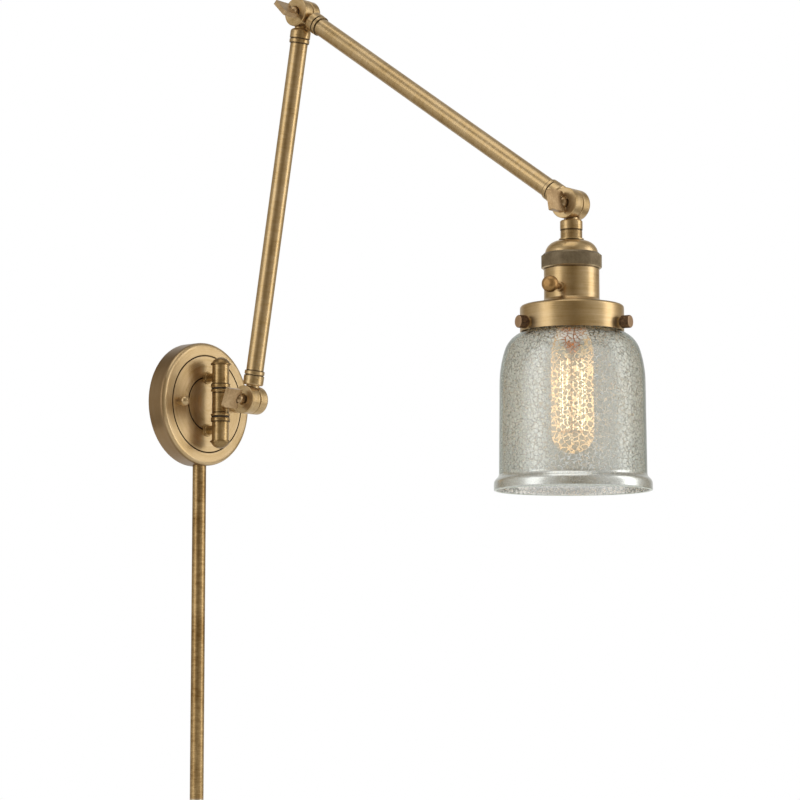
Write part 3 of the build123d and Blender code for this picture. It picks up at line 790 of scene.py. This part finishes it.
def ridges(sheet, given):
    """Small straight ridges."""
    top = sheet.node("ShaderNodeCombineXYZ", {}, {"Z": given.at("Length")})
    line = sheet.node("GeometryNodeCurvePrimitiveLine", {}, {"End": top})
    return set_round(sheet, given, swept(sheet, line, given.at("Width"), ridge_sides))


def thread(sheet, given):
    """A helical ridge."""
    radius = given.at("Radius")
    helix = sheet.node(
        "GeometryNodeCurveSpiral",
        {},
        {
            "Resolution": thread_steps,
            "Rotations": given.at("Turns"),
            "Start Radius": radius,
            "End Radius": radius,
            "Height": given.at("Length"),
        },
    )
    return swept(sheet, helix, given.at("Width"), ridge_sides)


def strands(sheet, given):
    """Thin wires that bow out a little."""
    length = given.at("Length")
    top = sheet.node("ShaderNodeCombineXYZ", {}, {"Z": length})
    middle = sheet.node("ShaderNodeCombineXYZ", {}, {"X": given.at("Bow"), "Z": length * 0.5})
    line = sheet.node(
        "GeometryNodeCurveQuadraticBezier",
        {},
        {"Resolution": filament_steps, "Start": (0.0, 0.0, 0.0), "Middle": middle, "End": top},
    )
    return set_round(sheet, given, swept(sheet, line, given.at("Width"), wire_sides))


pattern_piece(
    "socket_ring_knurl",
    ridges,
    {
        "Count": ring_ridges,
        "Radius": ring_radius * mm,
        "Length": (ring_bottom - ring_top) * mm,
        "Width": ridge_width * mm,
    },
    ring_metal,
    head_hinge + down * ring_top * mm,
    down,
    "lamp_head",
)
pattern_piece(
    "coupling_thread",
    thread,
    {
        "Turns": float(thread_turns),
        "Radius": thread_radius * mm,
        "Length": thread_height * mm,
        "Width": ridge_width * mm,
    },
    brass["head"],
    head_hinge + down * thread_top * mm,
    down,
    "lamp_head",
)
for number, turned_to in enumerate(screw_turns, start=1):
    screw_way = level_way(turned_to)
    ridge_start = screw_way * (screw_head_start + screw_head_margin) * mm
    pattern_piece(
        f"fitter_screw_knurl_{number}",
        ridges,
        {
            "Count": screw_ridges,
            "Radius": screw_head_radius * mm,
            "Length": (screw_head_length - 2 * screw_head_margin) * mm,
            "Width": screw_ridge_width * mm,
        },
        screw_metal[number],
        head_hinge + down * screw_level * mm + ridge_start,
        screw_way,
        f"shade_screw_{number}",
    )
filament = pattern_piece(
    "bulb_filament",
    strands,
    {
        "Count": filament_wires,
        "Radius": filament_circle * mm,
        "Length": (filament_bottom - filament_top) * mm,
        "Width": filament_width * mm,
        "Bow": filament_bow * mm,
    },
    hot_wire,
    head_hinge + down * filament_top * mm,
    down,
    "lamp_head",
)
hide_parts("filament")

# ---- Floor ----
floor_mesh = bmesh.new()
bmesh.ops.create_circle(floor_mesh, cap_ends=True, segments=floor_steps, radius=floor_radius)
floor_data = bpy.data.meshes.new("floor")
floor_mesh.to_mesh(floor_data)
floor_mesh.free()
floor_data.transform(Matrix.Translation(floor_middle))
floor = placed("floor", floor_data)
f = Finish("pale_floor")
_, from_middle, _ = f.round_axis(floor_middle, (0, 0, 1))
paper = f.blend(f.noise(f.where, 40.0, 3.0), (0.80, 0.80, 0.79), (0.84, 0.84, 0.83))
plain = f.principled(base_color=paper, roughness=0.9)
white = f.node("ShaderNodeEmission", {}, {"Color": (1, 1, 1, 1), "Strength": 1.0})
rays = f.node("ShaderNodeLightPath")
seen = rays.at("Is Camera Ray") + rays.at("Is Glossy Ray") + rays.at("Is Transmission Ray")
fade = from_middle.step(floor_radius * fade_start, floor_radius * fade_end) * (seen > 0.5)
floor_data.materials.append(f.surface(f.mixed(fade, plain, white)))

# ---- Studio: a white surround for the eye, and cards and a dim room that the metal mirrors ----
white_paper = (0.80, 0.80, 0.79)
lit_card = (0.58, 0.575, 0.56)
room_shade = (0.28, 0.235, 0.165)
room_dark = (0.13, 0.098, 0.052)
surround_stops = (  # from behind the light, round past the camera at 0.5, and back
    (0.0, white_paper),
    (0.075, lit_card),
    (0.13, room_shade),
    (0.21, (0.50, 0.46, 0.39)),
    (0.30, lit_card),
    (0.38, (0.50, 0.48, 0.45)),
    (0.45, room_shade),
    (0.5, room_dark),
    (0.55, room_shade),
    (0.62, (0.52, 0.50, 0.47)),
    (0.70, (0.66, 0.65, 0.63)),
    (0.78, (0.64, 0.62, 0.58)),
    (0.87, room_shade),
    (0.925, lit_card),
    (1.0, white_paper),
)
soft_light = 0.62
overhead_dimming = 0.35
floor_dimming = 0.6

world = bpy.data.worlds.new("studio")
bpy.context.scene.world = world
world.use_nodes = True
s = Sheet(world.node_tree)
s.tree.nodes.clear()
direction = s.node("ShaderNodeTexCoord", out="Generated")
front = Vector((camera_place.x - camera_aim.x, camera_place.y - camera_aim.y, 0)).normalized()
beside = Vector((-front.y, front.x, 0))
ahead = s.vector("DOT_PRODUCT", direction, tuple(front), out="Value")
aside = s.vector("DOT_PRODUCT", direction, tuple(beside), out="Value")
height = s.vector("DOT_PRODUCT", direction, (0, 0, 1), out="Value")
bearing = aside.maths("ARCTAN2", ahead) / (2 * pi) + 0.5
level = 1.0 - height.step(0.45, 0.95) * overhead_dimming
level = level - (1.0 - height.step(-0.75, -0.15)) * floor_dimming
grey = s.node("ShaderNodeCombineXYZ", {}, {0: level, 1: level, 2: level})
shown = s.blend(1.0, s.ramp(bearing, surround_stops), grey, "MULTIPLY")


def background(colour, strength):
    return s.node("ShaderNodeBackground", {}, {"Color": colour4(colour), "Strength": strength})


rays = s.node("ShaderNodeLightPath")
clear_ray = (rays.at("Is Camera Ray") + rays.at("Is Transmission Ray")) > 0.5
scene_light = s.mixed(
    rays.at("Is Glossy Ray"), background((1, 1, 1), soft_light), background(shown, 1.0)
)
scene_light = s.mixed(clear_ray, scene_light, background((1, 1, 1), 1.0))
s.node("ShaderNodeOutputWorld", {}, {"Surface": scene_light})

light_aim = Vector((0, -0.25, 0))
soft_boxes = {  # where each stands, its width and height, and its power in watts
    "left_box": ((-2.3, 0.55, 0.5), (1.2, 2.4), 11),
    "right_box": ((1.25, -2.15, 0.45), (1.0, 2.4), 15),
    "top_box": ((-0.6, -0.6, 2.2), (1.6, 1.6), 10),
}


def turned_towards(where, aim):
    """The turn that points a lamp or a camera from where to aim."""
    return (Vector(aim) - Vector(where)).to_track_quat("-Z", "Y").to_euler()


for name, (where, size, power) in soft_boxes.items():
    lamp = bpy.data.lights.new(name, "AREA")
    lamp.shape = "RECTANGLE"
    lamp.size, lamp.size_y = size
    lamp.energy = power
    holder = placed(name, lamp)
    holder.location = where
    holder.rotation_euler = turned_towards(where, light_aim)

# ---- Camera ----
lens = bpy.data.cameras.new("camera")
lens.lens = camera_lens
lens.sensor_width = sensor_width
lens.clip_end = camera_reach
camera = placed("camera", lens)
camera.location = camera_place
camera.rotation_euler = turned_towards(camera_place, camera_aim)
bpy.context.scene.camera = camera
bpy.context.scene.view_settings.view_transform = "Standard"
